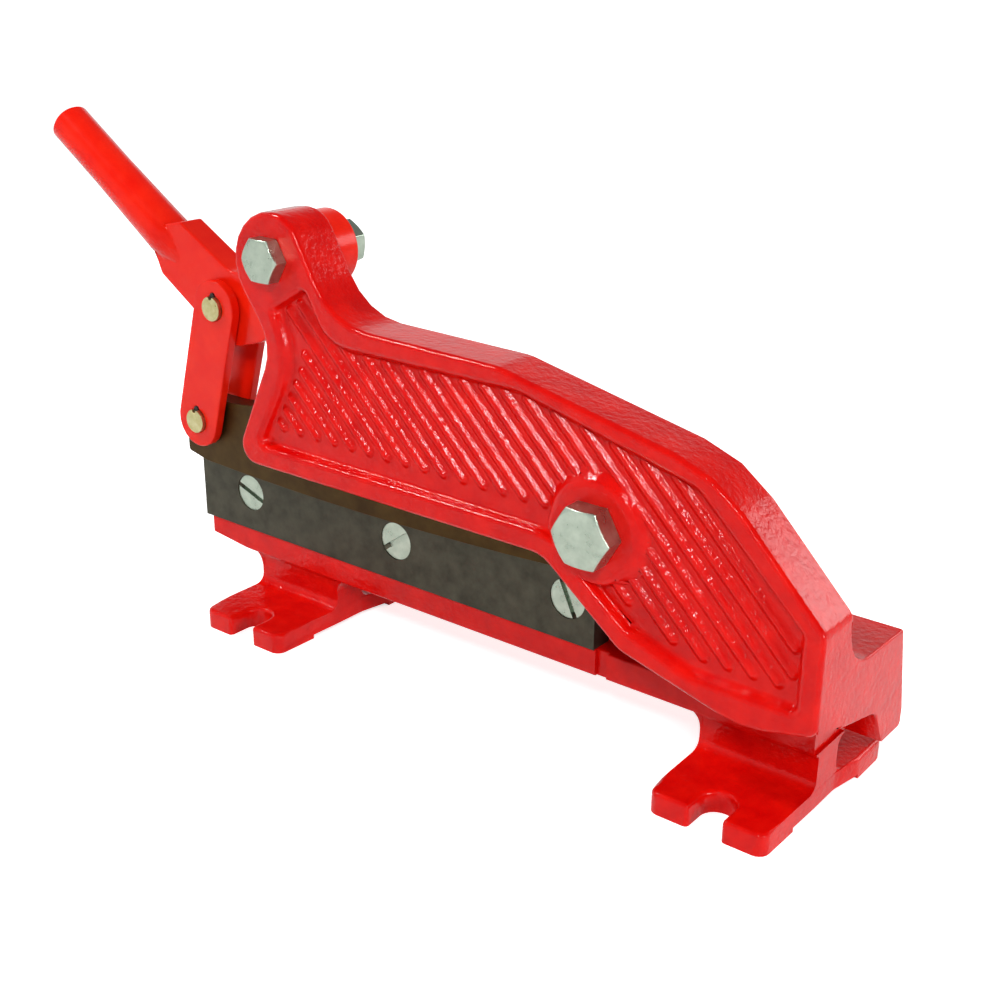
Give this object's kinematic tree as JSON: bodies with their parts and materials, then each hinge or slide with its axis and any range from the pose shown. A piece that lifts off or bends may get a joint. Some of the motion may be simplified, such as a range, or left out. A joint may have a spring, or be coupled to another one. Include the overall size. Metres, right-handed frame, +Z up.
{
  "type": "bench lever shear",
  "caption": "Bench shear for sheet metal: ribbed cast arm over a bed with a lower blade, and a lever that works a pivoted upper blade through a pair of links.",
  "frame": {"origin": "on the bench, midway between the two feet and midway between their front and back ends", "axes": "+X along the blades from the handle end to the heel, +Y from front to back, +Z up"},
  "size_m": [0.4582, 0.1092, 0.2448],
  "materials": {
    "red_casting": "gloss red paint over a cast skin",
    "red_steel": "gloss red paint",
    "blade_steel": "dark ground steel",
    "tinted_steel": "oiled steel with a bronze tint",
    "zinc": "bright zinc plate",
    "yellow_zinc": "yellow zinc plate",
    "black_steel": "blackened steel"
  },
  "bodies": {
    "frame": {"frame": "red_casting", "lower_blade": "blade_steel", "left_screw": "zinc", "middle_screw": "zinc", "right_screw": "zinc", "pivot_bolt": "zinc", "pivot_bush": "zinc", "pivot_washer": "zinc", "pivot_nut": "zinc", "lever_bolt": "zinc", "lever_bush": "zinc", "lever_washer": "zinc", "lever_nut": "zinc"},
    "lever": {"lever": "red_steel"},
    "links": {"front_link": "red_steel", "rear_link": "red_steel", "upper_pin": "yellow_zinc", "lower_pin": "yellow_zinc", "upper_key": "black_steel", "lower_key": "black_steel", "lower_collar": "zinc", "upper_clip": "black_steel", "lower_clip": "black_steel"},
    "blade": {"upper_blade": "tinted_steel"}
  },
  "joints": [
    {"name": "lever_swing", "type": "hinge", "parent": "frame", "child": "lever", "pos_m": [-0.102, -0.01515, 0.195], "axis": [0, 1, 0], "range_deg": [0, 45]},
    {"name": "link_swing", "type": "hinge", "parent": "lever", "child": "links", "pos_m": [-0.163, -0.01515, 0.1597], "axis": [0, 1, 0], "range_deg": [-57, 0]},
    {"name": "blade_swing", "type": "hinge", "parent": "frame", "child": "blade", "pos_m": [0.0728, -0.01715, 0.1117], "axis": [0, 1, 0], "range_deg": [0, 11.5]}
  ],
  "couplings": [
    {"joint": "link_swing", "follows": "lever_swing", "ratio": -1.2591},
    {"joint": "blade_swing", "follows": "lever_swing", "ratio": 0.2544}
  ]
}
